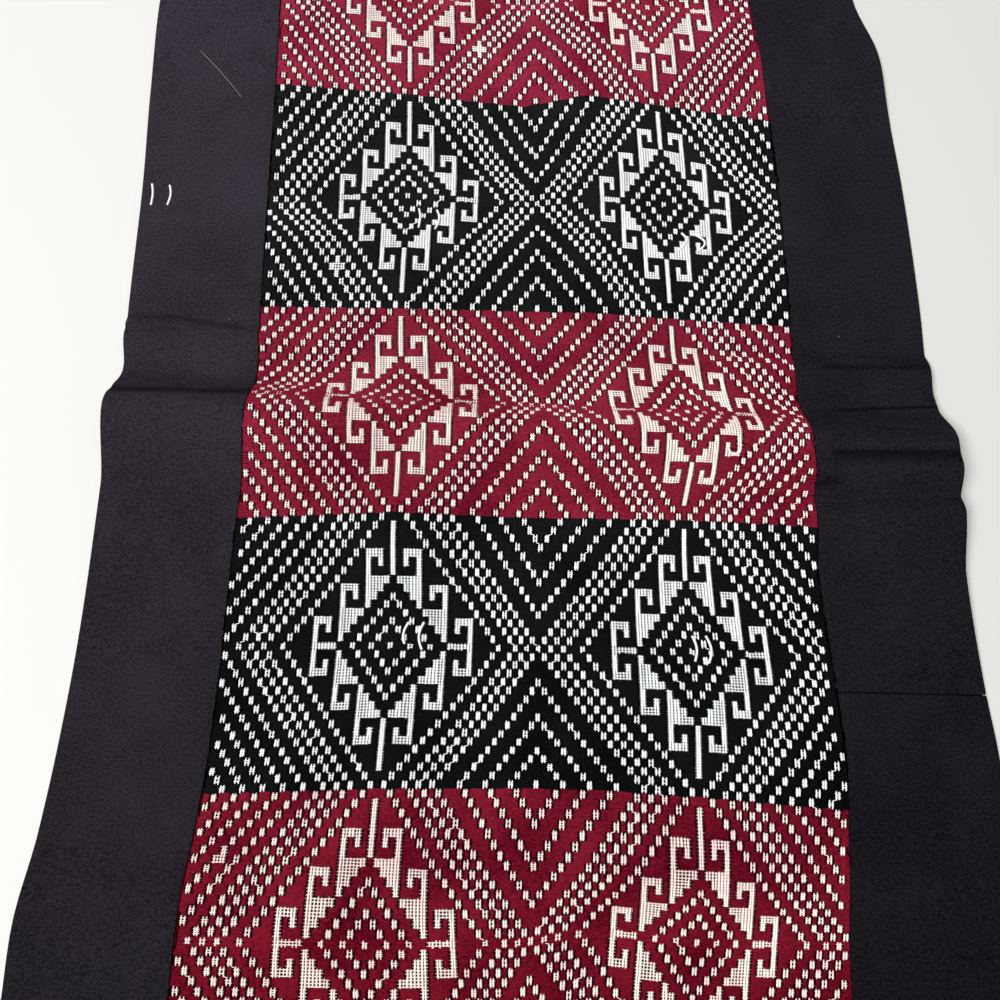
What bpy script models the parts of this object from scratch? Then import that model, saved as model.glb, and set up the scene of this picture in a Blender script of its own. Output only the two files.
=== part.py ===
# Woven wall hanging laid out on a surface: brocade panel, plain borders and lining, in their folds.
# Metres, +Z up. X runs across the hanging, Y along it towards its far end, Z = 0 is the surface.
from collections import namedtuple

import bmesh
import bpy
from mathutils import Vector

# Cloth sizes
LINING_THICK = 0.0010
BORDER_THICK = 0.0012
PANEL_THICK = 0.0020
PLY_GAP = 0.0003
SEAM_GAP = 0.0005
LINING_INSET = 0.0012

# The woven length at its middle line, far end and near end, from the line where the folds are measured
FAR_END = 0.422
NEAR_END = -0.290
RIGHT_JOIN = -0.099

# Three lines along the cloth where the folds are given
LEFT_LINE = -0.190
MIDDLE_LINE = 0.020
RIGHT_LINE = 0.210

# Mesh steps: short where the folds are, long where the cloth lies flat
FOLD_STEP = 0.0052
FLAT_STEP = 0.0185
FOLDED_FROM = -0.048
FOLDED_TO = 0.110
BORDER_COLUMNS = 3
PANEL_COLUMNS = 10

# Outline: a row for each place along the cloth. Lean is how far the weft drops per metre to the right.
Station = namedtuple("Station", "along left_edge left_seam right_seam right_edge lean")
OUTLINE = [
    Station(0.434, -0.2270, -0.1465, 0.1640, 0.2310, 0.060),
    Station(0.346, -0.2262, -0.1459, 0.1653, 0.2341, 0.065),
    Station(0.300, -0.2255, -0.1448, 0.1676, 0.2435, 0.070),
    Station(0.262, -0.2243, -0.1442, 0.1687, 0.2450, 0.070),
    Station(0.200, -0.2210, -0.1430, 0.1708, 0.2470, 0.060),
    Station(0.116, -0.2190, -0.1410, 0.1694, 0.2460, 0.044),
    Station(0.060, -0.2160, -0.1385, 0.1660, 0.2430, 0.030),
    Station(0.020, -0.2165, -0.1395, 0.1665, 0.2430, 0.023),
    Station(-0.040, -0.2185, -0.1430, 0.1662, 0.2440, 0.020),
    Station(-0.100, -0.2215, -0.1452, 0.1712, 0.2480, 0.022),
    Station(-0.140, -0.2240, -0.1472, 0.1730, 0.2500, 0.025),
    Station(-0.183, -0.2280, -0.1513, 0.1685, 0.2460, 0.022),
    Station(-0.217, -0.2310, -0.1535, 0.1645, 0.2420, 0.020),
    Station(-0.300, -0.2340, -0.1560, 0.1610, 0.2380, 0.020),
]

# Folds: a row for each. Crest is where its top lies along the cloth, height how far it stands up,
# behind and ahead how far it runs out beyond the crest and before it. Each holds three values,
# at the left, middle and right line.
Fold = namedtuple("Fold", "crest height behind ahead")
FOLDS = [
    # main fold
    Fold((0.050, 0.037, 0.027), (0.011, 0.008, 0.009), (0.026, 0.016, 0.022), (0.045, 0.045, 0.045)),
    # swell under it
    Fold((0.044, 0.030, 0.022), (0.008, 0.010, 0.012), (0.042, 0.075, 0.066), (0.150, 0.150, 0.140)),
    # left ripple
    Fold((0.097, 0.096, 0.095), (0.003, 0.001, 0.000), (0.011, 0.014, 0.014), (0.018, 0.020, 0.020)),
    # right ripple
    Fold((0.078, 0.077, 0.075), (0.000, 0.000, 0.004), (0.012, 0.012, 0.012), (0.018, 0.018, 0.018)),
    # right border ripple
    Fold((0.013, 0.012, 0.011), (0.000, 0.000, 0.003), (0.010, 0.010, 0.010), (0.016, 0.016, 0.016)),
    # near right ripple
    Fold((-0.018, -0.016, -0.012), (0.000, 0.001, 0.006), (0.013, 0.013, 0.012), (0.030, 0.030, 0.032)),
    # near swell
    Fold((-0.205, -0.200, -0.195), (0.004, 0.001, 0.002), (0.036, 0.040, 0.040), (0.050, 0.050, 0.050)),
    # far swell
    Fold((0.330, 0.300, 0.290), (0.002, 0.001, 0.003), (0.050, 0.050, 0.050), (0.060, 0.060, 0.060)),
]


def smooth(t):
    return t * t * (3 - 2 * t)


def across(values, x):
    """Value between the three lines along the cloth."""
    left, middle, right = values
    if x < MIDDLE_LINE:
        share = max(0.0, (x - LEFT_LINE) / (MIDDLE_LINE - LEFT_LINE))
        return left + (middle - left) * share
    share = min(1.0, (x - MIDDLE_LINE) / (RIGHT_LINE - MIDDLE_LINE))
    return middle + (right - middle) * share


def station_slope(column, index):
    """Slope of an outline column at one of its stations."""
    far = OUTLINE[max(index - 1, 0)]
    near = OUTLINE[min(index + 1, len(OUTLINE) - 1)]
    return (getattr(far, column) - getattr(near, column)) / (far.along - near.along)


def along(column, y):
    """Value of one outline column at y, on a smooth curve through its stations."""
    index = 1
    while index < len(OUTLINE) - 1 and y < OUTLINE[index].along:
        index += 1
    far, near = OUTLINE[index - 1], OUTLINE[index]
    span = far.along - near.along
    t = min(1.0, max(0.0, (y - near.along) / span))
    line = getattr(near, column) + (getattr(far, column) - getattr(near, column)) * smooth(t)
    near_bend = station_slope(column, index) * span * t * (1 - t) ** 2
    far_bend = station_slope(column, index - 1) * span * t * t * (1 - t)
    return line + near_bend - far_bend


def fold_height(x, y):
    """How far the underside of the cloth stands above the surface."""
    height = 0.0
    for fold in FOLDS:
        from_crest = y - across(fold.crest, x)
        run_out = across(fold.behind if from_crest > 0 else fold.ahead, x)
        share = min(1.0, abs(from_crest) / run_out)
        height += across(fold.height, x) * (1 - smooth(share))
    return height


def fold_normal(x, y):
    step = 0.0005
    rise_x = (fold_height(x + step, y) - fold_height(x - step, y)) / (2 * step)
    rise_y = (fold_height(x, y + step) - fold_height(x, y - step)) / (2 * step)
    return Vector((-rise_x, -rise_y, 1)).normalized()


def weft_point(station, column, inset=0.0):
    """Where the weft line through a station meets an edge: x and y."""
    x = along(column, station) + inset
    y = station - along("lean", station) * (x - MIDDLE_LINE)
    return along(column, y) + inset, y


def weft_stations(start, end):
    """Places of the mesh rows along the cloth, near end first, close together in the folds."""
    folded_rows = round((FOLDED_TO - FOLDED_FROM) / FOLD_STEP)
    near_rows = round((FOLDED_FROM - NEAR_END) / FLAT_STEP)
    far_rows = round((FAR_END - FOLDED_TO) / FLAT_STEP)
    rows = [NEAR_END + (FOLDED_FROM - NEAR_END) * i / near_rows for i in range(near_rows)]
    rows += [FOLDED_FROM + (FOLDED_TO - FOLDED_FROM) * i / folded_rows for i in range(folded_rows)]
    rows += [FOLDED_TO + (FAR_END - FOLDED_TO) * i / far_rows for i in range(far_rows + 1)]
    inside = [row for row in rows if start + FOLD_STEP / 2 < row < end - FOLD_STEP / 2]
    return [start] + inside + [end]


def outline_centre():
    """Middle of the rectangle round the laid cloth, which is the part's origin."""
    edges = [weft_point(row, "left_edge") for row in weft_stations(NEAR_END, FAR_END)]
    edges += [weft_point(row, "right_edge") for row in weft_stations(NEAR_END, FAR_END)]
    across_all = [x for x, y in edges]
    along_all = [y for x, y in edges]
    return Vector(((min(across_all) + max(across_all)) / 2, (min(along_all) + max(along_all)) / 2, 0))


def column_shares(columns):
    return [i / columns for i in range(columns + 1)]


def strip(left, right, columns, left_inset=0.0, right_inset=0.0):
    """One strip of columns between two outline edges."""
    return (left, left_inset, right, right_inset, column_shares(columns))


def cloth(name, strips, under, thick, start, end, material, collection):
    """A sheet of cloth on the folds: a grid set on the plies under it, then given its thickness."""
    stations = weft_stations(start, end)
    columns = []
    for left, left_inset, right, right_inset, shares in strips:
        skip = 1 if columns else 0
        columns += [(left, left_inset, right, right_inset, share) for share in shares[skip:]]
    mesh = bpy.data.meshes.new(name)
    sheet = bmesh.new()
    bmesh.ops.create_grid(sheet, x_segments=len(columns) - 1, y_segments=len(stations) - 1, size=1)
    sheet.verts.ensure_lookup_table()
    centre = outline_centre()
    for index, vertex in enumerate(sheet.verts):
        row, column = divmod(index, len(columns))
        left, left_inset, right, right_inset, share = columns[column]
        left_x, left_y = weft_point(stations[row], left, left_inset)
        right_x, right_y = weft_point(stations[row], right, right_inset)
        x = left_x + (right_x - left_x) * share
        y = left_y + (right_y - left_y) * share
        base = Vector((x, y, fold_height(x, y)))
        vertex.co = base + fold_normal(x, y) * (under + thick) - centre
    bmesh.ops.triangulate(sheet, faces=sheet.faces, quad_method="FIXED")
    sheet.to_mesh(mesh)
    sheet.free()
    mesh.materials.append(material)
    mesh.shade_smooth()
    piece = bpy.data.objects.new(name, mesh)
    collection.objects.link(piece)
    ply = piece.modifiers.new("thickness", "SOLIDIFY")
    ply.thickness = thick
    ply.offset = -1
    return piece


def cloth_material(name, colour, roughness):
    material = bpy.data.materials.new(name)
    material.use_nodes = True
    shader = material.node_tree.nodes["Principled BSDF"]
    shader.inputs["Base Color"].default_value = (*colour, 1)
    shader.inputs["Roughness"].default_value = roughness
    shader.inputs["Metallic"].default_value = 0
    return material


def build():
    for old in list(bpy.data.objects):
        bpy.data.objects.remove(old)
    hanging = bpy.data.collections.new("woven_wall_hanging")
    bpy.context.scene.collection.children.link(hanging)

    charcoal = cloth_material("charcoal_cotton", (0.030, 0.025, 0.029), 0.90)
    black = cloth_material("black_lining_cotton", (0.012, 0.012, 0.013), 0.92)
    brocade = cloth_material("crimson_black_brocade", (0.230, 0.018, 0.042), 0.85)

    on_lining = LINING_THICK + PLY_GAP
    half_gap = SEAM_GAP / 2
    left_strip = strip("left_edge", "left_seam", BORDER_COLUMNS, right_inset=-half_gap)
    panel_strip = strip("left_seam", "right_seam", PANEL_COLUMNS, half_gap, -half_gap)
    right_strip = strip("right_seam", "right_edge", BORDER_COLUMNS, left_inset=half_gap)
    lining_strips = [
        strip("left_edge", "left_seam", BORDER_COLUMNS, left_inset=LINING_INSET),
        strip("left_seam", "right_seam", PANEL_COLUMNS),
        strip("right_seam", "right_edge", BORDER_COLUMNS, right_inset=-LINING_INSET),
    ]
    far_lining = FAR_END - LINING_INSET
    near_lining = NEAR_END + LINING_INSET
    far_join = RIGHT_JOIN + half_gap
    near_join = RIGHT_JOIN - half_gap

    cloth("lining", lining_strips, 0, LINING_THICK, near_lining, far_lining, black, hanging)
    cloth("woven_panel", [panel_strip], on_lining, PANEL_THICK, NEAR_END, FAR_END, brocade, hanging)
    cloth("border_left", [left_strip], on_lining, BORDER_THICK, NEAR_END, FAR_END, charcoal, hanging)
    cloth("border_right_far", [right_strip], on_lining, BORDER_THICK, far_join, FAR_END, charcoal, hanging)
    cloth("border_right_near", [right_strip], on_lining, BORDER_THICK, NEAR_END, near_join, charcoal, hanging)


build()
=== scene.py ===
import math
import random

import bmesh
import bpy
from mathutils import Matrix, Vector


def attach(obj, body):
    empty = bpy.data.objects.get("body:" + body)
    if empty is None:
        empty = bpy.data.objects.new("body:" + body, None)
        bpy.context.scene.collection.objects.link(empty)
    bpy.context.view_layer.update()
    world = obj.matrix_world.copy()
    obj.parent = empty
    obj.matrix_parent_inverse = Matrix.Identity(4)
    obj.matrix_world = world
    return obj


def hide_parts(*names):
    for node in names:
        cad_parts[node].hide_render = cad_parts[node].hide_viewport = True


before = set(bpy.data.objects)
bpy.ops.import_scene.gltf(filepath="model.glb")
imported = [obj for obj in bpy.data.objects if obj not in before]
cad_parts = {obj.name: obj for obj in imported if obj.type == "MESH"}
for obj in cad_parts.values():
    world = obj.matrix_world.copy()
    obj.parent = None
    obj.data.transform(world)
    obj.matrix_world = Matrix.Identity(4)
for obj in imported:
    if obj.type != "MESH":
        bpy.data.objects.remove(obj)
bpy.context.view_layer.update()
chance = random.Random(7)
mm = 0.001
scene = bpy.context.scene
print("frame loaded")

# Every place is first given in metres from the point where the camera looks at the surface:
# x across the hanging, y along it towards the far end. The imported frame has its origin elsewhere:
frameOrigin = Vector((0.008185, 0.071305, 0))

# Cloth as in the CAD source
cloth = {
    "liningThick": 1.0 * mm,
    "borderThick": 1.2 * mm,
    "plyGap": 0.3 * mm,
    "seamGap": 0.5 * mm,
    "liningInset": 1.2 * mm,
    "farEnd": 0.422,
    "nearEnd": -0.290,
    "rightJoin": -0.099,
    "foldLines": (-0.190, 0.020, 0.210),   # left, middle and right line where the folds are given
}

# along, left edge, left seam, right seam, right edge, and how far the weft drops per metre to the right
outline = [
    (0.434, -0.2270, -0.1465, 0.1640, 0.2310, 0.060),
    (0.346, -0.2262, -0.1459, 0.1653, 0.2341, 0.065),
    (0.300, -0.2255, -0.1448, 0.1676, 0.2435, 0.070),
    (0.262, -0.2243, -0.1442, 0.1687, 0.2450, 0.070),
    (0.200, -0.2210, -0.1430, 0.1708, 0.2470, 0.060),
    (0.116, -0.2190, -0.1410, 0.1694, 0.2460, 0.044),
    (0.060, -0.2160, -0.1385, 0.1660, 0.2430, 0.030),
    (0.020, -0.2165, -0.1395, 0.1665, 0.2430, 0.023),
    (-0.040, -0.2185, -0.1430, 0.1662, 0.2440, 0.020),
    (-0.100, -0.2215, -0.1452, 0.1712, 0.2480, 0.022),
    (-0.140, -0.2240, -0.1472, 0.1730, 0.2500, 0.025),
    (-0.183, -0.2280, -0.1513, 0.1685, 0.2460, 0.022),
    (-0.217, -0.2310, -0.1535, 0.1645, 0.2420, 0.020),
    (-0.300, -0.2340, -0.1560, 0.1610, 0.2380, 0.020),
]
leftEdge, leftSeam, rightSeam, rightEdge, lean = 1, 2, 3, 4, 5

# crest, height, run-out behind and ahead, each at the three fold lines
folds = [
    # main fold
    ((0.050, 0.037, 0.027), (0.011, 0.008, 0.009), (0.026, 0.016, 0.022), (0.045, 0.045, 0.045)),
    # swell under it
    ((0.044, 0.030, 0.022), (0.008, 0.010, 0.012), (0.042, 0.075, 0.066), (0.150, 0.150, 0.140)),
    # left ripple
    ((0.097, 0.096, 0.095), (0.003, 0.001, 0.000), (0.011, 0.014, 0.014), (0.018, 0.020, 0.020)),
    # right ripple
    ((0.078, 0.077, 0.075), (0.000, 0.000, 0.004), (0.012, 0.012, 0.012), (0.018, 0.018, 0.018)),
    # right border ripple
    ((0.013, 0.012, 0.011), (0.000, 0.000, 0.003), (0.010, 0.010, 0.010), (0.016, 0.016, 0.016)),
    # near right ripple
    ((-0.018, -0.016, -0.012), (0.000, 0.001, 0.006), (0.013, 0.013, 0.012), (0.030, 0.030, 0.032)),
    # near swell
    ((-0.205, -0.200, -0.195), (0.004, 0.001, 0.002), (0.036, 0.040, 0.040), (0.050, 0.050, 0.050)),
    # far swell
    ((0.330, 0.300, 0.290), (0.002, 0.001, 0.003), (0.050, 0.050, 0.050), (0.060, 0.060, 0.060)),
]

# small creases, read from the photo and rounded: from, to, height (below 0 for a trough) and half width
creases = [
    ((0.200, 0.036), (0.238, 0.030), -0.9 * mm, 4.0 * mm),
    ((-0.176, 0.064), (-0.160, 0.056), -0.5 * mm, 3.0 * mm),
    ((0.124, 0.020), (0.136, 0.026), -0.9 * mm, 4.0 * mm),
    ((-0.212, -0.166), (-0.160, -0.176), -1.0 * mm, 9.0 * mm),
    ((0.020, 0.262), (0.034, 0.300), 0.9 * mm, 8.0 * mm),
    ((-0.218, 0.106), (-0.184, 0.105), 1.0 * mm, 4.5 * mm),
    ((-0.179, 0.104), (-0.148, 0.097), 0.7 * mm, 5.5 * mm),
    ((-0.222, 0.059), (-0.141, 0.059), -0.9 * mm, 4.5 * mm),
    ((-0.179, 0.062), (-0.171, 0.067), -0.4 * mm, 3.0 * mm),
    ((0.186, 0.078), (0.220, 0.078), -1.0 * mm, 4.0 * mm),
    ((0.190, 0.050), (0.224, 0.052), -0.8 * mm, 4.0 * mm),
    ((0.176, 0.024), (0.224, 0.023), -1.0 * mm, 5.0 * mm),
    ((0.166, 0.005), (0.176, 0.008), -1.0 * mm, 5.0 * mm),
]

# painted shade along the creases beside the folds in the borders, darkening the cloth where they lie in
# shade. Their ends
# are read from the photo and rounded: from, to (further right), how dark, and how far the dark reaches behind
# and ahead
creaseShadeLines = [
    ((-0.228, 0.0575), (-0.142, 0.0570), 0.50, 9.0 * mm, 1.5 * mm),
    ((-0.180, 0.0615), (-0.171, 0.0675), 0.35, 1.5 * mm, 1.5 * mm),
    ((-0.216, 0.111), (-0.188, 0.110), 0.35, 3.0 * mm, 3.0 * mm),
    ((-0.188, 0.110), (-0.166, 0.105), 0.35, 3.0 * mm, 3.0 * mm),
    ((-0.166, 0.105), (-0.150, 0.102), 0.30, 3.0 * mm, 3.0 * mm),
    ((0.186, 0.076), (0.240, 0.076), 0.45, 3.0 * mm, 3.0 * mm),
    ((0.190, 0.0485), (0.207, 0.050), 0.75, 1.6 * mm, 1.4 * mm),
    ((0.207, 0.050), (0.243, 0.051), 0.75, 1.6 * mm, 1.4 * mm),
    ((0.177, 0.021), (0.243, 0.0205), 0.55, 1.6 * mm, 10.0 * mm),
    ((0.165, 0.003), (0.176, 0.0055), 0.50, 4.0 * mm, 4.0 * mm),
]


def smooth(t):
    return t * t * (3 - 2 * t)


def through(table, y, item):
    # smooth curve through one item of a table, by its first value, which falls from row to row
    last = len(table) - 1
    index = 1
    while index < last and y < table[index][0]:
        index += 1
    far, near = table[index - 1], table[index]
    beyond, before = table[max(index - 2, 0)], table[min(index + 1, last)]
    span = far[0] - near[0]
    t = min(1.0, max(0.0, (y - near[0]) / span))
    nearSlope = (far[item] - before[item]) / (far[0] - before[0])
    farSlope = (beyond[item] - near[item]) / (beyond[0] - near[0])
    line = near[item] + (far[item] - near[item]) * smooth(t)
    return line + nearSlope * span * t * (1 - t) ** 2 - farSlope * span * t * t * (1 - t)


def foldHeight(x, y):
    left, middle, right = cloth["foldLines"]
    if x < middle:
        share = max(0.0, (x - left) / (middle - left))
        first, second = 0, 1
    else:
        share = min(1.0, (x - middle) / (right - middle))
        first, second = 1, 2
    height = 0.0
    for crest, tall, behind, ahead in folds:
        away = y - crest[first] - (crest[second] - crest[first]) * share
        if away > 0.08 or away < -0.15:
            continue
        side = behind if away > 0 else ahead
        t = abs(away) / (side[first] + (side[second] - side[first]) * share)
        if t < 1:
            height += (tall[first] + (tall[second] - tall[first]) * share) * (1 - smooth(t))
    for (ax, ay), (bx, by), tall, wide in creases:
        if abs(y - ay) < 0.05:
            lengthSquared = (bx - ax) ** 2 + (by - ay) ** 2
            t = min(1.0, max(0.0, ((x - ax) * (bx - ax) + (y - ay) * (by - ay)) / lengthSquared))
            away = math.hypot(x - ax - (bx - ax) * t, y - ay - (by - ay) * t) / wide
            if away < 1:
                height += tall * (1 - smooth(away))
    return max(0.0, height)


def creaseShadeDark(x, y):
    # how dark the painted crease shade makes a place, from 0 to 1; each line thins out past its ends
    dark = 0.0
    for (ax, ay), (bx, by), strength, behind, ahead in creaseShadeLines:
        along = (x - ax) / (bx - ax)
        past = max(-along, along - 1, 0.0) * (bx - ax) / (5 * mm)
        away = y - ay - (by - ay) * min(1.0, max(0.0, along))
        off = abs(away) / (behind if away > 0 else ahead)
        if off < 1 and past < 1:
            dark = max(dark, strength * (1 - smooth(off)) * (1 - smooth(past)))
    return dark


def onFolds(x, y, lift):
    # a point that stands lift above the surface under the cloth, square to its slope
    step = 0.0005
    riseX = (foldHeight(x + step, y) - foldHeight(x - step, y)) / (2 * step)
    riseY = (foldHeight(x, y + step) - foldHeight(x, y - step)) / (2 * step)
    slope = Vector((-riseX, -riseY, 1)).normalized()
    return Vector((x, y, foldHeight(x, y))) + slope * lift - frameOrigin


# Materials

def fromHex(code):
    values = [int(code[i:i + 2], 16) / 255 for i in (1, 3, 5)]
    return tuple(v / 12.92 if v <= 0.04045 else ((v + 0.055) / 1.055) ** 2.4 for v in values) + (1.0,)


def addNode(material, kind, settings=None, links=None):
    node = material.node_tree.nodes.new(kind)
    for name, value in (settings or {}).items():
        if isinstance(name, str) and hasattr(node, name):
            setattr(node, name, value)
        else:
            node.inputs[name].default_value = value
    for name, source in (links or {}).items():
        material.node_tree.links.new(source, node.inputs[name])
    return node


dyeStops = (0.38, 0.62)        # where the mottle is darkest and lightest, as shares of the noise
halfLength = 0.36              # from the middle of the cloth to where the painted light is least and most


def mottleWithPaintedLight(material, tone, near, far, place):
    # the dye's mottle, from a dark to a light colour, with painted light: lighter and greyer towards the far
    # end, as sheen and brighter light make it
    ramps = []
    for colours in (near, far):
        ramp = addNode(material, "ShaderNodeValToRGB", None, {"Fac": tone})
        for element, stop, colour in zip(ramp.color_ramp.elements, dyeStops, colours):
            element.position = stop
            element.color = fromHex(colour)
        ramps.append(ramp.outputs["Color"])
    parts = addNode(material, "ShaderNodeSeparateXYZ", None, {"Vector": place.outputs["Object"]})
    alongCloth = addNode(material, "ShaderNodeMapRange", {"From Min": -halfLength, "From Max": halfLength},
                         {"Value": parts.outputs["Y"]})
    mix = addNode(material, "ShaderNodeMixRGB", None,
                  {"Fac": alongCloth.outputs["Result"], "Color1": ramps[0], "Color2": ramps[1]})
    return mix.outputs["Color"]


def mattMaterial(name, roughness):
    material = bpy.data.materials.new(name)
    material.use_nodes = True
    shader = material.node_tree.nodes["Principled BSDF"]
    shader.inputs["Roughness"].default_value = roughness
    shader.inputs["Specular IOR Level"].default_value = 0.0
    return material, shader, addNode(material, "ShaderNodeTexCoord")


def yarnMaterial(name, near, far, roughness, fibre):
    # near and far are the dye's dark and light colours at the two ends, the far ones lighter by painted
    # light; fibre is the twist's relief in mm
    material, shader, place = mattMaterial(name, roughness)
    spot = place.outputs["Object"]
    twisted = addNode(material, "ShaderNodeMapping", {"Scale": (700, 900, 700)}, {"Vector": spot})
    grain = addNode(material, "ShaderNodeTexNoise", {"Scale": 1.0, "Detail": 3.0},
                    {"Vector": twisted.outputs["Vector"]})
    patch = addNode(material, "ShaderNodeTexNoise", {"Scale": 30.0, "Detail": 3.0}, {"Vector": spot})
    both = addNode(material, "ShaderNodeMath", {"operation": "ADD"},
                   {0: grain.outputs["Fac"], 1: patch.outputs["Fac"]})
    tone = addNode(material, "ShaderNodeMath", {"operation": "MULTIPLY", 1: 0.5}, {0: both.outputs[0]})
    fuzz = addNode(material, "ShaderNodeTexNoise", {"Scale": 1 / (fibre * mm), "Detail": 3.0},
                   {"Vector": spot})
    relief = addNode(material, "ShaderNodeBump", {"Strength": 0.6, "Distance": 0.12 * mm},
                     {"Height": fuzz.outputs["Fac"]})
    dye = mottleWithPaintedLight(material, tone.outputs[0], near, far, place)
    material.node_tree.links.new(dye, shader.inputs["Base Color"])
    material.node_tree.links.new(relief.outputs["Normal"], shader.inputs["Normal"])
    return material


def plainClothMaterial(name, near, far, threadPitch, roughness):
    # plain weave: two crossing sets of threads, nearly even in colour, the dye a little faded in patches
    material, shader, place = mattMaterial(name, roughness)
    waves = []
    for direction in ("X", "Y"):
        settings = {"wave_type": "BANDS", "bands_direction": direction, "Scale": 0.314 / threadPitch,
                    "Distortion": 1.6, "Detail": 2.0, "Detail Scale": 0.6}
        waves.append(addNode(material, "ShaderNodeTexWave", settings, {"Vector": place.outputs["Object"]}))
    weave = addNode(material, "ShaderNodeMath", {"operation": "MULTIPLY"},
                    {0: waves[0].outputs["Fac"], 1: waves[1].outputs["Fac"]})
    speckle = addNode(material, "ShaderNodeTexNoise", {"Scale": 0.7 / threadPitch, "Detail": 2.0},
                      {"Vector": place.outputs["Object"]})
    patch = addNode(material, "ShaderNodeTexNoise", {"Scale": 14.0, "Detail": 6.0, "Roughness": 0.7},
                    {"Vector": place.outputs["Object"]})
    fine = addNode(material, "ShaderNodeMath", {"operation": "MULTIPLY_ADD", 1: 0.35},
                   {0: weave.outputs[0], 2: speckle.outputs["Fac"]})
    both = addNode(material, "ShaderNodeMath", {"operation": "MULTIPLY_ADD", 1: 0.55},
                   {0: patch.outputs["Fac"], 2: fine.outputs[0]})
    tone = addNode(material, "ShaderNodeMath", {"operation": "MULTIPLY", 1: 0.6}, {0: both.outputs[0]})
    relief = addNode(material, "ShaderNodeBump", {"Strength": 0.6, "Distance": 0.15 * mm},
                     {"Height": weave.outputs[0]})
    # painted crease shade: the colour is mixed towards black along the shaded creases
    creaseShade = addNode(material, "ShaderNodeAttribute", {"attribute_name": "creaseShade"})
    dye = mottleWithPaintedLight(material, tone.outputs[0], near, far, place)
    darkened = addNode(material, "ShaderNodeMixRGB", {"Color2": fromHex("#000000")},
                       {"Fac": creaseShade.outputs["Fac"], "Color1": dye})
    material.node_tree.links.new(darkened.outputs["Color"], shader.inputs["Base Color"])
    material.node_tree.links.new(relief.outputs["Normal"], shader.inputs["Normal"])
    return material


# most colour pairs below are lighter at the far end than at the near end: painted light
# crimson and black cotton weft packed tight: matt, with the dye a little uneven from place to place
crimsonWeft = yarnMaterial("crimson_cotton_weft", ("#470310", "#721222"), ("#701429", "#993047"), 0.85, 0.35)
blackWeft = yarnMaterial("black_cotton_weft", ("#030404", "#0B0C0D"), ("#151717", "#222424"), 0.85, 0.35)
# undyed cotton, tinged pink where the crimson has bled
whiteWarp = yarnMaterial("undyed_cotton_warp", ("#E9EBE8", "#F9FAF8"), ("#F4F5F3", "#FEFEFC"), 0.9, 0.30)
pinkWarp = yarnMaterial("tinged_cotton_warp", ("#F8D2CF", "#FFF1E6"), ("#FBDFDB", "#FFF8F1"), 0.9, 0.30)
# the shade between and under the yarns
crimsonShade = yarnMaterial("crimson_ground_shade", ("#22030A", "#2E050D"), ("#340B14", "#40101B"), 0.95, 0.5)
blackShade = yarnMaterial("black_ground_shade", ("#020202", "#040404"), ("#050505", "#070708"), 0.95, 0.5)
openShade = yarnMaterial("open_ground_shade", ("#030203", "#060505"), ("#060505", "#090808"), 0.95, 0.5)
# plain cotton dyed charcoal, the left strip lighter than the right one by painted sheen: threads about 0.5 mm
# apart, drawn further apart so that they show
threadPitch = 0.9 * mm
paintedSheenCharcoal = plainClothMaterial("painted_sheen_charcoal_plain_cotton", ("#100E11", "#252227"),
                                  ("#231F25", "#3F3842"), threadPitch, 0.9)
charcoalCotton = plainClothMaterial("charcoal_plain_cotton", ("#09080B", "#1B191E"),
                                    ("#18151A", "#302B33"), threadPitch, 0.9)
liningCotton = plainClothMaterial("black_lining_cotton", ("#0E0D0F", "#131214"),
                                  ("#151316", "#1A181B"), threadPitch, 0.92)
tackingWhite = ("#EEECE6", "#FAF9F6")
tackingCotton = yarnMaterial("white_tacking_cotton", tackingWhite, tackingWhite, 0.85, 0.25)
hairFibre = yarnMaterial("stray_cotton_fibre", ("#8C8680", "#B8B2AC"), ("#8C8680", "#B8B2AC"), 0.8, 0.2)
print("materials made")


def layer(obj):
    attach(obj, "root")
    return obj


def layCloth(name, columns, rows, placeAt, thick, materials, colourAt=None):
    # a grid laid point by point on the folds, then given its thickness
    mesh = bpy.data.meshes.new(name)
    sheet = bmesh.new()
    bmesh.ops.create_grid(sheet, x_segments=len(columns) - 1, y_segments=len(rows) - 1, size=1)
    sheet.verts.ensure_lookup_table()
    for index, vertex in enumerate(sheet.verts):
        row, column = divmod(index, len(columns))
        vertex.co = placeAt(columns[column], rows[row])
    if colourAt:
        for index, face in enumerate(sheet.faces):
            row, column = divmod(index, len(columns) - 1)
            face.material_index = colourAt(column, row)
    bmesh.ops.remove_doubles(sheet, verts=sheet.verts, dist=0.001 * mm)
    sheet.to_mesh(mesh)
    sheet.free()
    for material in materials:
        mesh.materials.append(material)
    mesh.shade_smooth()
    obj = bpy.data.objects.new(name, mesh)
    scene.collection.objects.link(obj)
    ply = obj.modifiers.new("thickness", "SOLIDIFY")
    ply.thickness = thick
    ply.offset = -1
    return obj


def roundEdges(obj, width):
    soft = obj.modifiers.new("soft edges", "BEVEL")
    soft.limit_method = "ANGLE"
    soft.angle_limit = math.radians(50)
    soft.width = width
    soft.segments = 3
    return obj


def weftPoint(station, item, inset=0.0):
    x = through(outline, station, item) + inset
    y = station - through(outline, station, lean) * (x - cloth["foldLines"][1])
    return through(outline, y, item) + inset, y


def between(first, firstInset, second, secondInset, lift):
    # gives the place at a share of the way across a strip, on the weft line through a station
    def placeAt(share, station):
        leftX, leftY = weftPoint(station, first, firstInset)
        rightX, rightY = weftPoint(station, second, secondInset)
        return onFolds(leftX + (rightX - leftX) * share, leftY + (rightY - leftY) * share, lift)
    return placeAt


# mesh steps along the cloth: short where the folds are, long where it lies flat
foldedFrom, foldedTo = -0.052, 0.128
foldedStep, flatStep = 1.2 * mm, 8 * mm


def stationsFor(start, end):
    stations, station = [start], start
    while station < end:
        station += foldedStep if foldedFrom < station < foldedTo else flatStep
        stations.append(min(station, end))
    return stations


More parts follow.
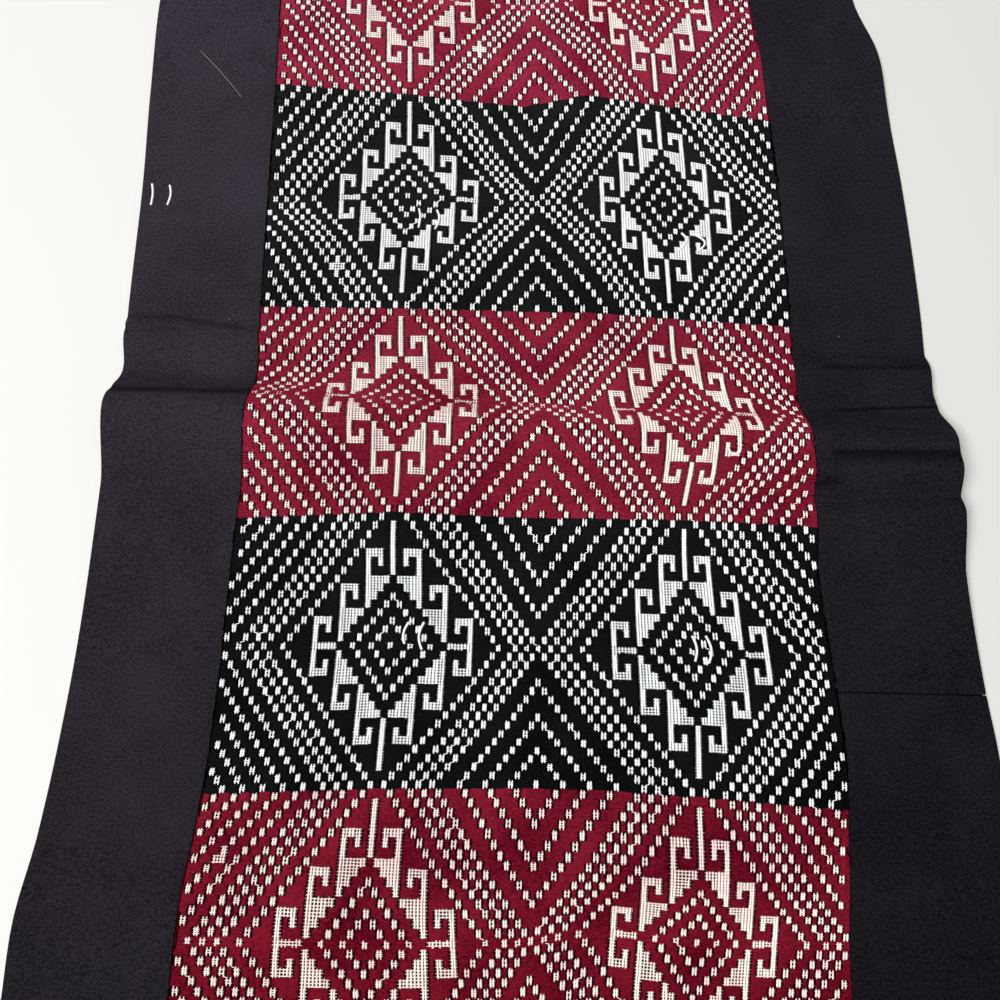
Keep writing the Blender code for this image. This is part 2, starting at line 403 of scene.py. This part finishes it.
# Lining and borders
liningThick, borderThick = cloth["liningThick"], cloth["borderThick"]
onLining = liningThick + cloth["plyGap"]
halfGap = cloth["seamGap"] / 2
farEnd, nearEnd, rightJoin = cloth["farEnd"], cloth["nearEnd"], cloth["rightJoin"]

inset = cloth["liningInset"]
lining = layCloth("lining_cloth", [i / 30 for i in range(31)], stationsFor(nearEnd + inset, farEnd - inset),
                  between(leftEdge, inset, rightEdge, -inset, liningThick), liningThick, [liningCotton])
roundEdges(lining, 0.3 * mm)
layer(lining)
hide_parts("lining")

leftStrip, rightStrip = (leftEdge, 0.0, leftSeam, -halfGap), (rightSeam, halfGap, rightEdge, 0.0)
borders = {
    "left_border_cloth": ("border_left", leftStrip, nearEnd, farEnd, paintedSheenCharcoal),
    "right_border_cloth": ("border_right_far", rightStrip, rightJoin + halfGap, farEnd, charcoalCotton),
    "right_border_near_cloth": ("border_right_near", rightStrip, nearEnd, rightJoin - halfGap,
                                charcoalCotton),
}
for name, (node, strip, start, end, cotton) in borders.items():
    border = layCloth(name, [i / 14 for i in range(15)], stationsFor(start, end),
                      between(*strip, onLining + borderThick), borderThick, [cotton])
    # painted crease shade, kept on each point of the border
    creaseShade = border.data.attributes.new("creaseShade", "FLOAT", "POINT")
    for vertex in border.data.vertices:
        spot = vertex.co + frameOrigin
        creaseShade.data[vertex.index].value = creaseShadeDark(spot.x, spot.y)
    roundEdges(border, 0.5 * mm)
    layer(border)
    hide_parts(node)
print("lining and borders laid")


# Brocade: columns of cells 3.3 mm wide, counted from the left diamond's middle, and 32 rows a band
panel = {
    "bandLines": [(-2, 0.422), (0, 0.414), (32, 0.267), (64, 0.1145), (96, -0.013), (128, -0.149),
                  (160, -0.282), (162, -0.290)],
    "crimsonBands": (0, 2, 4),
    "groundThick": 1.1 * mm,
    "ribLift": 2.42 * mm, "ribHalfWidth": 1.10 * mm, "ribHeight": 0.24 * mm,
    "strandLift": 2.66 * mm, "strandHalfWidth": 0.42 * mm, "strandHeight": 0.42 * mm,
    "pickLift": 2.50 * mm, "pickHalfWidth": 0.25 * mm, "pickHeight": 0.40 * mm,
    "floatLift": 2.78 * mm, "floatHalfWidth": 0.20 * mm, "floatHeight": 0.22 * mm,
}

# the cloth is drawn a little aside here and there, so the middles of a few columns are given along the
# panel, in whole mm from its left edge: readings of the photo, rounded, and many of them then moved with
# a render beside the photo
columnStops = (-24, 0, 12, 24, 36, 48, 66)
columnLines = [
    (0.414, 5, 84, 126, 168, 205, 242, 302),
    (0.215, 4, 86, 128, 165, 205, 243, 301),
    (0.165, 5, 84, 126, 164, 204, 241, 300),
    (0.114, 3, 82, 124, 162, 202, 240, 298),
    (0.070, 2, 82, 124, 161, 199, 238, 294),
    (0.030, 4, 84, 124, 162, 202, 242, 296),
    (-0.013, 7, 84, 126, 163, 202, 238, 292),
    (-0.060, 8, 87, 128, 163, 202, 241, 298),
    (-0.105, 8, 86, 128, 164, 204, 245, 303),
    (-0.149, 6, 86, 127, 165, 205, 246, 305),
    (-0.190, 6, 88, 128, 167, 207, 248, 303),
    (-0.240, 6, 90, 133, 167, 204, 243, 298),
]

# the weft wanders too: by how many half rows the pattern lies nearer than an even lay at a few columns,
# rounded and moved in the same way
driftColumns = (-24, 0, 22, 34, 48, 70)
driftHalfRows = [
    (0, (1, 2, 2, 1, 0, 0)),
    (24, (1, 2, 3, -1, 0, 2)),
    (32, (1, 2, 4, -1, 1, 4)),
    (40, (3, 4, 5, 0, 1, 6)),
    (48, (5, 2, 3, 0, 1, 4)),
    (56, (2, 0, 1, -1, 0, 1)),
    (72, (2, 2, 0, 1, 2, 3)),
    (80, (0, 0, 0, 1, 1, 2)),
    (96, (1, -1, 0, 0, 0, 1)),
    (104, (1, 1, 1, 1, 1, 2)),
    (120, (3, 1, 1, 1, 1, 2)),
    (128, (3, 1, 0, 0, 1, 3)),
    (136, (2, 2, 2, 2, 3, 3)),
    (144, (3, 3, 2, -1, 1, 1)),
    (160, (4, 3, 2, 0, -1, 0)),
]


# the pattern's rows with its plain ends, and over how many rows the wandering fades out at each end
firstRow, lastRow = -2, 162
farFade, nearFade = 14, 12


def patternDrift(column, row):
    # in rows; it fades out towards the two ends, which are straight
    last = len(driftHalfRows) - 1
    step = 1
    while step < last and row > driftHalfRows[step][0]:
        step += 1
    (rowA, far), (rowB, near) = driftHalfRows[step - 1], driftHalfRows[step]
    down = smooth(min(1.0, max(0.0, (row - rowA) / (rowB - rowA))))
    index = 1
    while index < len(driftColumns) - 1 and column > driftColumns[index]:
        index += 1
    left, right = driftColumns[index - 1], driftColumns[index]
    over = (column - left) / (right - left)
    a = far[index - 1] + (far[index] - far[index - 1]) * over
    b = near[index - 1] + (near[index] - near[index - 1]) * over
    return (a + (b - a) * down) / 2 * min(1.0, (row - firstRow) / farFade, (lastRow - row) / nearFade)


def panelEdges(y):
    return through(outline, y, leftSeam) + halfGap, through(outline, y, rightSeam) - halfGap


def columnX(column, y):
    index = 1
    while index < len(columnStops) - 1 and column > columnStops[index]:
        index += 1
    columnA, columnB = columnStops[index - 1], columnStops[index]
    placeA, placeB = through(columnLines, y, index), through(columnLines, y, index + 1)
    return panelEdges(y)[0] + (placeA + (placeB - placeA) * (column - columnA) / (columnB - columnA)) * mm


def columnAt(x, y):
    # the column, with its share, that lies at x
    places = [columnX(column, y) for column in columnStops]
    index = 1
    while index < len(places) - 1 and x > places[index]:
        index += 1
    share = (x - places[index - 1]) / (places[index] - places[index - 1])
    return columnStops[index - 1] + (columnStops[index] - columnStops[index - 1]) * share


def weftLine(station, column):
    y = station
    for i in range(3):
        y = station - through(outline, station, lean) * (columnX(column, y) - cloth["foldLines"][1])
    return y


def evenRows(column):
    # y of every half row at a column: rows are an equal way apart along the folded cloth
    places = []
    for (rowA, stationA), (rowB, stationB) in zip(panel["bandLines"], panel["bandLines"][1:]):
        yA, yB = weftLine(stationA, column), weftLine(stationB, column)
        steps = 8 * (rowB - rowA)
        ys = [yA + (yB - yA) * i / steps for i in range(steps + 1)]
        points = [onFolds(columnX(column, y), y, onLining + 1.5 * mm) for y in ys]
        lengths = [0.0]
        for a, b in zip(points, points[1:]):
            lengths.append(lengths[-1] + (b - a).length)
        step = 0
        for i in range(2 * (rowB - rowA)):
            wanted = lengths[-1] * i / (2 * (rowB - rowA))
            while lengths[step + 1] < wanted:
                step += 1
            part = (wanted - lengths[step]) / (lengths[step + 1] - lengths[step])
            places.append(ys[step] + (ys[step + 1] - ys[step]) * part)
    return places + [yB]


lineColumns = list(range(-26, 80, 7))
rowLines = [evenRows(column) for column in lineColumns]
print("rows set out along the folds")


def cellPlace(column, row):
    # x and y of a place in the pattern
    even = min(162.0, max(-2.0, row + patternDrift(column, row)))
    line = min(len(lineColumns) - 2, max(0, int((column - lineColumns[0]) // 7)))
    over = (column - lineColumns[line]) / 7
    halfRow = min(len(rowLines[0]) - 2, int((even + 2) * 2))
    part = (even + 2) * 2 - halfRow
    ends = [rowLines[line + k][halfRow] * (1 - part) + rowLines[line + k][halfRow + 1] * part for k in (0, 1)]
    y = ends[0] + (ends[1] - ends[0]) * over
    return columnX(column, y), y


def cellPoint(column, row, lift):
    x, y = cellPlace(column, row)
    return onFolds(x, y, lift)


def openCell(column, row):
    # true where the white ground shows: two diamonds with hooks, side by side, in rows of dots
    if row < 0 or row > 159:
        return False
    row = row % 32
    mirrored = column > 24
    fromMiddle = column - 48 if mirrored else column
    outward = fromMiddle > 0 if mirrored else fromMiddle < 0
    across, down = abs(fromMiddle), abs(row - 15)
    ring = across + down
    if ring in (0, 3, 6, 17, 20, 22, 24):
        return True
    if ring in ((27, 30, 33, 36, 39, 42) if outward else (28, 32, 36, 40)):
        return True
    if row == 31:
        return False
    row = min(row, 30 - row)
    lines = {0: (1, 6), 2: (4, 5), 4: (4, 10), 6: (8, 9), 8: (8, 14), 10: (12, 13), 12: (12, 15)}
    if across in lines and lines[across][0] <= row <= lines[across][1]:
        return True
    bars = {4: (2, 4), 7: (1, 4), 8: (2, 4), 9: (3, 4), 11: (5, 8), 12: (6, 8), 13: (7, 8), 15: (9, 12)}
    hooks = {8: (6, 8), 12: (10, 12)}
    for wanted in (bars, hooks):
        if row in wanted and wanted[row][0] <= across <= wanted[row][1]:
            return True
    return False


def isMiddle(row):
    # the row through the diamonds' middles has fewer picks, so its open cells are low
    return row % 32 == 15


def edgeColumns(row):
    # the two columns, with their shares, that the panel's edges cut at a row
    leftY, rightY = cellPlace(-25, row)[1], cellPlace(68, row)[1]
    return columnAt(panelEdges(leftY)[0], leftY), columnAt(panelEdges(rightY)[1], rightY)


edges = [edgeColumns(row + 0.5) for row in range(-2, 162)]
columns = range(-27, 73)
white = {(column, row) for row in range(160) for column in columns
         if openCell(column, row) and edges[row + 2][0] + 0.4 < column < edges[row + 2][1] - 0.4}
# weaver's slips: cells left open between four dots, which makes a small cross
white |= {(13, 23), (-12, 58), (-21, 135)}
print("open cells", len(white))


def bandOf(row):
    return min(4, max(0, row // 32))


def isCrimson(row):
    return bandOf(row) in panel["crimsonBands"]


# the ground cloth under the yarns: a grid on the cells' edges, cut off at the panel's edges
groundColumns = [column + 0.5 for column in range(-28, 73)]
groundRows = [row / 2 for row in range(-4, 325)][::-1]


def groundPlace(column, row):
    x, y = cellPlace(column, row)
    left, right = panelEdges(y)
    return onFolds(min(right, max(left, x)), y, onLining + panel["groundThick"])


def groundColour(columnIndex, rowIndex):
    row = math.floor((groundRows[rowIndex] + groundRows[rowIndex + 1]) / 2)
    if (columnIndex - 27, row) in white:
        return 2
    return 0 if isCrimson(row) else 1


brocade = layCloth("brocade_cloth", groundColumns, groundRows, groundPlace, panel["groundThick"],
                   [crimsonShade, blackShade, openShade], groundColour)
layer(brocade)
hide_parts("woven_panel")
print("brocade ground laid")


def yarnProfile(name, halfWidth, height):
    # half of a flattened yarn, seen end on
    profile = bpy.data.curves.new(name, "CURVE")
    profile.dimensions = "3D"
    half = profile.splines.new("POLY")
    shape = [(-1.0, -0.2), (-0.55, 0.82), (0.55, 0.82), (1.0, -0.2)]
    half.points.add(len(shape) - 1)
    for point, (side, up) in zip(half.points, shape):
        point.co = (side * halfWidth, up * height, 0, 1)
    obj = bpy.data.objects.new(name, profile)
    scene.collection.objects.link(obj)
    return obj


def spinYarns(name, paths, profile, material, round_=False):
    # paths holds lists of (point, thickness share); all of them become one mesh
    curve = bpy.data.curves.new(name, "CURVE")
    curve.dimensions = "3D"
    curve.twist_mode = "Z_UP"
    if round_:
        curve.bevel_depth = profile
        curve.bevel_resolution = 2
        curve.use_fill_caps = True
    else:
        curve.bevel_mode = "OBJECT"
        curve.bevel_object = profile
    for path in paths:
        yarn = curve.splines.new("POLY")
        yarn.points.add(len(path) - 1)
        yarn.points.foreach_set("co", [value for point, share in path for value in (*point, 1.0)])
        yarn.points.foreach_set("radius", [share for point, share in path])
    shape = bpy.data.objects.new(name + "_paths", curve)
    scene.collection.objects.link(shape)
    mesh = bpy.data.meshes.new_from_object(shape.evaluated_get(bpy.context.evaluated_depsgraph_get()))
    bpy.data.objects.remove(shape)
    bpy.data.curves.remove(curve)
    mesh.name = name
    mesh.materials.clear()
    mesh.materials.append(material)
    mesh.shade_smooth()
    obj = bpy.data.objects.new(name, mesh)
    scene.collection.objects.link(obj)
    print(name, len(paths), "yarns")
    return obj


ribProfile = yarnProfile("rib_profile", panel["ribHalfWidth"], panel["ribHeight"])
strandProfile = yarnProfile("strand_profile", panel["strandHalfWidth"], panel["strandHeight"])
pickProfile = yarnProfile("pick_profile", panel["pickHalfWidth"], panel["pickHeight"])
floatProfile = yarnProfile("float_profile", panel["floatHalfWidth"], panel["floatHeight"])


def runsOf(flags):
    # start and end of each unbroken run of true flags
    runs, start = [], None
    for index, flag in enumerate(flags + [False]):
        if flag and start is None:
            start = index
        if not flag and start is not None:
            runs.append((start, index - 1))
            start = None
    return runs


# coloured weft: three low ribs a row, each from one open cell to the next. In a middle row only the middle
# rib stops there; the other two pass over the open cells
ribReach = 0.58                          # from the middle of its last cell to a rib's end, in cells
edgeInset = 0.02                         # from the panel's edge to a rib's end, in cells
shortestRib = 0.3                        # in cells
ribAtPanelEdge = (0.12 * mm, 1.0)        # how far a rib's end is lowered, and its thickness share
ribAtOpenCell = (0.35 * mm, 0.75)
ribs = {True: [], False: []}
for row in range(firstRow, lastRow):
    edgeEnds = (edges[row + 2][0] + edgeInset, edges[row + 2][1] - edgeInset)
    for third in (1, 3, 5):
        passing = isMiddle(row) and third != 3
        coloured = [passing or (column, row) not in white for column in columns]
        for first, last in runsOf(coloured):
            left = max(columns[first] - ribReach, edgeEnds[0])
            right = min(columns[last] + ribReach, edgeEnds[1])
            if right - left < shortestRib:
                continue
            sway = chance.uniform(-0.02, 0.02)
            middles = [column for column in columns[first:last + 1] if left < column < right]
            path = []
            for column in [left] + middles + [right]:
                if column in edgeEnds:
                    drop, share = ribAtPanelEdge
                elif column in (left, right):
                    drop, share = ribAtOpenCell
                else:
                    drop, share = chance.uniform(0, 0.10) * mm, chance.uniform(0.9, 1.06)
                place = row + third / 6 + sway + chance.uniform(-0.05, 0.05)
                path.append((cellPoint(column, place, panel["ribLift"] - drop), share))
            ribs[isCrimson(row)].append(path)
crimsonRibs = layer(spinYarns("crimson_weft_ribs", ribs[True], ribProfile, crimsonWeft))
blackRibs = layer(spinYarns("black_weft_ribs", ribs[False], ribProfile, blackWeft))

# a dot stands alone: how far its two strands stand from its middle, how thick they are, and its picks
dotKinds = [
    (0.250, 0.95, (0.28, 0.50, 0.72)),    # open, with two holes
    (0.250, 0.95, (0.30, 0.70)),          # open, with one hole
    (0.245, 0.95, (0.38, 0.62)),          # open at both ends
    (0.180, 1.22, (0.30, 0.70)),          # closed
    (0.190, 1.20, (0.28, 0.50, 0.72)),    # closed
    (0.215, 1.05, (0.28, 0.50, 0.72)),    # nearly closed
]
dots = {}
for column, row in sorted(white):
    beside = [(column + 1, row), (column - 1, row), (column, row + 1), (column, row - 1)]
    if not any(cell in white for cell in beside):
        dots[(column, row)] = chance.choice(dotKinds)

# white warp: two strands to each open cell, over the ground picks
strandPair = (0.170, 1.12)                  # from the cell's middle to each strand, in cells, and thickness
besideSpread = 0.25                         # the same distance where the next cell is open too
crimsonThin = 0.94                          # strands are a little thinner in the crimson bands
blockThick = (0.62, 0.80, 1.15, 1.30)       # open or drawn together
lowCell = 0.08                              # how much shorter a middle row's dot is at each end, in rows
strandTuck = 0.45 * mm                      # how far a strand's ends go down
tuckedThick = 0.6
strands = {True: [], False: []}
for column in columns:
    for first, last in runsOf([(column, row) in white for row in range(160)]):
        crimson = isCrimson((first + last) // 2)
        spread, thick = dots.get((column, first), strandPair)[:2]
        thick *= crimsonThin if crimson else 1.0
        inBlock = chance.choice(blockThick)
        low = lowCell if first == last and isMiddle(first) else 0.0
        for side in (-1, 1):
            path = []
            start = first + low + chance.uniform(-0.04, 0.12)
            end = last + 1 - low - chance.uniform(-0.04, 0.12)
            rowsAlong = [row + third / 6 for row in range(first, last + 1) for third in (1, 3, 5)]
            rowsAlong = [row for row in rowsAlong if start < row < end]
            for row in [start] + rowsAlong + [end]:
                tucked = row in (start, end)
                beside = (column + side, min(last, max(first, math.floor(row)))) in white
                over = side * (besideSpread if beside else spread) + chance.uniform(-0.015, 0.015)
                lift = panel["strandLift"] - (strandTuck if tucked else chance.uniform(0, 0.08) * mm)
                share = tuckedThick if tucked else (inBlock if beside else thick) * chance.uniform(0.92, 1.05)
                path.append((cellPoint(column + over, row, lift), share))
            strands[crimson].append(path)
tingedStrands = layer(spinYarns("tinged_warp_strands", strands[True], strandProfile, pinkWarp))
whiteStrands = layer(spinYarns("white_warp_strands", strands[False], strandProfile, whiteWarp))

# white ground picks across each open run; their ends stick out a little beside the strands
blockPicks = (1 / 6, 3 / 6, 5 / 6)      # shares of the row
middlePicks = (0.34, 0.66)
dotReach = (0.34, 0.50)                 # from the cell's middle to a pick's end, in cells
blockReach = (0.44, 0.56)
picks = {True: [], False: []}
for row in range(160):
    for first, last in runsOf([(column, row) in white for column in columns]):
        left, right = columns[first], columns[last]
        pickPlaces = dots[(left, row)][2] if (left, row) in dots else blockPicks
        if isMiddle(row):
            pickPlaces = middlePicks
        for third in pickPlaces:
            path = []
            inner = [left] if first == last else [column + 0.5 for column in range(left, right)]
            shortest, longest = dotReach if (left, row) in dots else blockReach
            ends = [left - chance.uniform(shortest, longest), right + chance.uniform(shortest, longest)]
            for column in ends[:1] + inner + ends[1:]:
                tucked = column in ends
                lift = panel["pickLift"] + chance.uniform(-0.04, 0.04) * mm
                share = chance.uniform(0.3, 0.7) if tucked else chance.uniform(0.85, 1.15)
                path.append((cellPoint(column, row + third + chance.uniform(-0.03, 0.03), lift), share))
            picks[isCrimson(row)].append(path)
tingedPicks = layer(spinYarns("tinged_ground_picks", picks[True], pickProfile, pinkWarp))
whitePicks = layer(spinYarns("white_ground_picks", picks[False], pickProfile, whiteWarp))

# thin floats of the white ground that show between two dots, corner to corner
floatChance = {True: 0.06, False: 0.10}     # in a crimson band and in a black one
floatRoute = ((0.20, -0.10), (0.40, 0.0), (0.60, 0.02), (0.80, 0.12))
floats = {True: [], False: []}
for column, row in sorted(dots):
    for side in (-1, 1):
        if (column + side, row + 1) in dots and chance.random() < floatChance[isCrimson(row)]:
            path = []
            for over, down in floatRoute:
                path.append((cellPoint(column + side * over, row + 1 + down, panel["floatLift"]), 1.0))
            floats[isCrimson(row)].append(path)
tingedFloats = layer(spinYarns("tinged_ground_floats", floats[True], floatProfile, pinkWarp))
whiteFloats = layer(spinYarns("white_ground_floats", floats[False], floatProfile, whiteWarp))
for profile in (ribProfile, strandProfile, pickProfile, floatProfile):
    bpy.data.objects.remove(profile)
print("brocade woven")

# White tacking stitches, in pairs, and loose fibres, read from the photo and rounded. For each: where it
# starts and ends on the cloth, in whole mm, and by how many mm it bows to the right between
tacks = {
    "radius": 0.62 * mm,
    "borderShare": 1.12,
    "rise": 0.5 * mm,
    "onBorder": [((-215, 201), (-214, 186), 1.0), ((-204, 200), (-204, 186), 1.5)],
    "onPanel": [
        ((-50, 183), (-50, 170), 1.0),
        ((-39, 182), (-40, 169), 2.0),
        ((109, 166), (107, 155), 3.5),
        ((117, 165), (117, 153), 5.5),
        ((-48, -67), (-50, -78), -1.5),
        ((-40, -67), (-41, -81), -2.0),
        ((99, -74), (100, -87), 1.5),
        ((106, -74), (107, -88), 2.0),
    ],
}
fibres = {
    "radius": 0.11 * mm,
    "lift": 0.3 * mm,
    "rise": 0.4 * mm,
    "onBorder": [
        ((-195, 301), (-166, 266), 1.0),
        ((196, 98), (196, 97), 0.0),
        ((-159, 109), (-158, 108), 0.0),
    ],
    "onPanel": [((-25, 54), (-12, 40), 1.5), ((-97, 63), (-94, 56), 0.0)],
}
onBorderTop = onLining + borderThick
onPanelTop = panel["strandLift"] + panel["strandHeight"]
threadSteps = 6
threadSink = 0.3 * mm       # how far a thread's ends lie under the top of the yarns, before they bow
endRise = 0.4               # share of the bow that the ends keep


def bowed(thread, under, rise):
    # a thread that starts and ends in the cloth, and bows up and aside a little between
    (startX, startY), (endX, endY), aside = thread
    points = []
    for index in range(threadSteps + 1):
        t = index / threadSteps
        bow = math.sin(math.pi * t)
        x = startX + (endX - startX) * t + aside * bow
        y = startY + (endY - startY) * t
        points.append(onFolds(x * mm, y * mm, under - threadSink + rise * (endRise + bow)))
    return points


def eased(points, share=1.0):
    # three points more between each two, on a smooth curve, and the same thickness all along
    path = []
    for index in range(len(points) - 1):
        before, after = points[max(index - 1, 0)], points[min(index + 2, len(points) - 1)]
        a, b = points[index], points[index + 1]
        for step in range(4):
            t = step / 4
            bend = (b - before) * (t * (1 - t) ** 2 / 2) - (after - a) * (t * t * (1 - t) / 2)
            path.append((a.lerp(b, smooth(t)) + bend, share))
    return path + [(points[-1], share)]


tackPaths = [eased(bowed(tack, onBorderTop, tacks["rise"]), tacks["borderShare"])
             for tack in tacks["onBorder"]]
tackPaths += [eased(bowed(tack, onPanelTop, tacks["rise"])) for tack in tacks["onPanel"]]
stitches = layer(spinYarns("tacking_stitches", tackPaths, tacks["radius"], tackingCotton, True))
fibrePaths = [eased(bowed(fibre, onBorderTop + fibres["lift"], fibres["rise"]))
              for fibre in fibres["onBorder"]]
fibrePaths += [eased(bowed(fibre, onPanelTop + fibres["lift"], fibres["rise"]))
               for fibre in fibres["onPanel"]]
strayFibres = layer(spinYarns("stray_fibres", fibrePaths, fibres["radius"], hairFibre, True))
print("stitches made")

# Floor, light and camera
floorMesh = bpy.data.meshes.new("floor")
floorShape = bmesh.new()
bmesh.ops.create_grid(floorShape, x_segments=1, y_segments=1, size=3)
floorShape.to_mesh(floorMesh)
floorShape.free()
floor = bpy.data.objects.new("floor", floorMesh)
scene.collection.objects.link(floor)
floorPaint = bpy.data.materials.new("pale_floor")
floorPaint.use_nodes = True
floorShader = floorPaint.node_tree.nodes["Principled BSDF"]
floorShader.inputs["Base Color"].default_value = fromHex("#DCDAD6")
floorShader.inputs["Roughness"].default_value = 0.8
floorMesh.materials.append(floorPaint)

# place, size and power of each lamp; both look at the middle of the cloth
lights = {
    "key": ((-1.60, -0.80, 2.60), 1.1, 115),
    "far": ((-0.2, 1.3, 1.5), 1.0, 7),
}
for name, (place, size, power) in lights.items():
    lamp = bpy.data.lights.new(name, "AREA")
    lamp.size = size
    lamp.energy = power
    obj = bpy.data.objects.new(name, lamp)
    obj.location = place
    obj.rotation_euler = (-Vector(place)).to_track_quat("-Z", "Y").to_euler()
    scene.collection.objects.link(obj)
world = bpy.data.worlds.new("studio")
world.use_nodes = True
sky = world.node_tree.nodes["Background"]
sky.inputs["Color"].default_value = fromHex("#E8EAEE")
sky.inputs["Strength"].default_value = 0.24
scene.world = world
scene.view_settings.view_transform = "Standard"   # the hex colours show as they are given

view = {
    "distance": 0.414,      # from the camera to the point that it looks at on the surface
    "tilt": math.radians(15),
    "sensor": 36,           # in mm
    "focalShare": 0.752,    # focal length as a share of the picture's width
    "shift": -0.001,
}
cameraPlace = Vector((0, -math.sin(view["tilt"]), math.cos(view["tilt"]))) * view["distance"]
camera = bpy.data.objects.new("camera", bpy.data.cameras.new("camera"))
camera.data.sensor_width = view["sensor"]
camera.data.lens = view["focalShare"] * view["sensor"]
camera.data.shift_x = view["shift"]
camera.data.clip_start = 0.01
camera.location = cameraPlace - frameOrigin
camera.rotation_euler = (view["tilt"], 0, 0)
scene.collection.objects.link(camera)
scene.camera = camera
